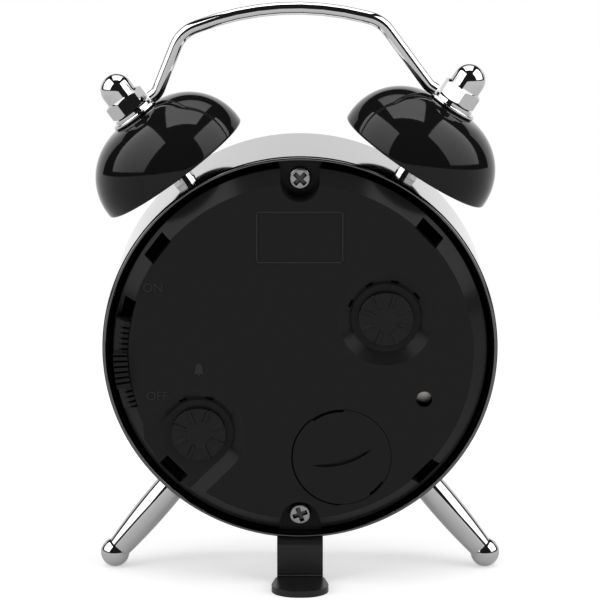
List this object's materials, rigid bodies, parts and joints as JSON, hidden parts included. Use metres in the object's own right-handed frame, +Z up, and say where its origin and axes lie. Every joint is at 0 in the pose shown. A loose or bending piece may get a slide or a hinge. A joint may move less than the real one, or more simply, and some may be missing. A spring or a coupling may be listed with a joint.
{
  "type": "alarm clock",
  "caption": "Small round quartz alarm clock with bells, wire handle, splayed legs and a rear foot; rear knobs set time and alarm, a slide arms the buzzer.",
  "frame": {"origin": "centre of the clock's footprint box, on the surface that it stands on", "axes": "+Z up, the dial faces -Y and leans back, the setting knobs face +Y, +X is to the left seen from behind"},
  "size_m": [0.0624, 0.028, 0.0884],
  "materials": {
    "chrome": "polished chrome plate",
    "steel": "plain steel",
    "black_paint": "gloss black enamel",
    "black_plastic": "moulded gloss black",
    "clear": "clear flat lens",
    "dial_white": "printed white",
    "frame_plastic": "moulded black",
    "gear_plastic": "natural white",
    "copper": "enamelled copper wire",
    "board": "green solder mask",
    "brass": "rolled brass disc",
    "lead_cover": "insulated wire",
    "hand_black": "black enamel",
    "hand_red": "red enamel",
    "hand_alarm": "grey enamel"
  },
  "bodies": {
    "case": {"case_drum": "chrome", "bell_posts": "chrome", "cap_nuts": "chrome", "bell_washers": "chrome", "handle": "chrome", "leg_left": "chrome", "leg_right": "chrome", "bell_studs": "steel", "bell_lock_nuts": "steel", "leg_nuts": "steel", "cover_screws": "steel", "movement_screws": "steel", "foot_screw": "steel", "foot_nut": "steel", "button_cell": "steel", "contact_plus": "steel", "contact_minus": "steel", "switch_contact": "steel", "stator": "steel", "quartz_crystal": "steel", "bell_left": "black_paint", "bell_right": "black_paint", "rear_foot": "black_paint", "back_cover": "black_plastic", "dial_ring": "black_plastic", "driver_chip": "black_plastic", "lens": "clear", "dial_plate": "dial_white", "movement_frame": "frame_plastic", "middle_plate": "frame_plastic", "rear_plate": "frame_plastic", "coil_bobbin": "frame_plastic", "coil_winding": "copper", "circuit_board": "board", "piezo_buzzer": "brass", "buzzer_leads": "lead_cover"},
    "time_setter": {"time_knob": "black_plastic", "setting_arbor": "gear_plastic"},
    "minute_set": {"cannon_pinion": "gear_plastic", "minute_hand": "hand_black"},
    "hour_set": {"hour_wheel": "gear_plastic", "hour_hand": "hand_black"},
    "alarm_setter": {"alarm_knob": "black_plastic", "alarm_arbor": "gear_plastic"},
    "alarm_pointer": {"alarm_wheel": "gear_plastic", "alarm_hand": "hand_alarm"},
    "second_set": {"second_wheel": "gear_plastic", "second_hand": "hand_red"},
    "third": {"third_wheel": "gear_plastic"},
    "center": {"center_wheel": "gear_plastic"},
    "intermediate": {"intermediate_wheel": "gear_plastic"},
    "motor_rotor": {"rotor": "steel"},
    "slide": {"alarm_switch": "black_plastic"},
    "door": {"battery_door": "black_plastic"}
  },
  "joints": [
    {"name": "time_set", "type": "hinge", "parent": "case", "child": "time_setter", "pos_m": [-0.0128, 0.00893, 0.04189], "axis": [0, 0.9962, -0.0872], "continuous": true},
    {"name": "minute_turn", "type": "hinge", "parent": "case", "child": "minute_set", "pos_m": [0, 0.00847, 0.03661], "axis": [0, 0.9962, -0.0872], "continuous": true},
    {"name": "hour_turn", "type": "hinge", "parent": "case", "child": "hour_set", "pos_m": [0, 0.00847, 0.03661], "axis": [0, 0.9962, -0.0872], "continuous": true},
    {"name": "alarm_set", "type": "hinge", "parent": "case", "child": "alarm_setter", "pos_m": [0.01525, 0.00737, 0.02406], "axis": [0, 0.9962, -0.0872], "continuous": true},
    {"name": "alarm_turn", "type": "hinge", "parent": "case", "child": "alarm_pointer", "pos_m": [0, 0.00847, 0.03661], "axis": [0, 0.9962, -0.0872], "continuous": true},
    {"name": "second_turn", "type": "hinge", "parent": "case", "child": "second_set", "pos_m": [0, 0.00847, 0.03661], "axis": [0, 0.9962, -0.0872], "continuous": true},
    {"name": "third_turn", "type": "hinge", "parent": "case", "child": "third", "pos_m": [0.00696, 0.00804, 0.03175], "axis": [0, 0.9962, -0.0872], "continuous": true},
    {"name": "center_turn", "type": "hinge", "parent": "case", "child": "center", "pos_m": [0, 0.00847, 0.03661], "axis": [0, 0.9962, -0.0872], "continuous": true},
    {"name": "intermediate_turn", "type": "hinge", "parent": "case", "child": "intermediate", "pos_m": [0.00146, 0.00919, 0.04485], "axis": [0, 0.9962, -0.0872], "continuous": true},
    {"name": "rotor_turn", "type": "hinge", "parent": "case", "child": "motor_rotor", "pos_m": [0.00835, 0.00929, 0.04606], "axis": [0, 0.9962, -0.0872], "continuous": true},
    {"name": "alarm_slide", "type": "hinge", "parent": "case", "child": "slide", "pos_m": [0, 0.00847, 0.03661], "axis": [0, -0.9962, 0.0872], "range_deg": [0, 5.5]},
    {"name": "door_twist", "type": "hinge", "parent": "case", "child": "door", "pos_m": [-0.0063, 0.00706, 0.02057], "axis": [0, 0.9962, -0.0872], "range_deg": [0, 40]}
  ],
  "couplings": [
    {"joint": "minute_turn", "follows": "time_set", "ratio": -3},
    {"joint": "hour_turn", "follows": "time_set", "ratio": -0.25},
    {"joint": "alarm_set", "follows": "alarm_turn", "ratio": -4},
    {"joint": "third_turn", "follows": "second_turn", "ratio": -0.13333},
    {"joint": "center_turn", "follows": "second_turn", "ratio": 0.016667},
    {"joint": "intermediate_turn", "follows": "second_turn", "ratio": -5},
    {"joint": "rotor_turn", "follows": "second_turn", "ratio": 30}
  ]
}
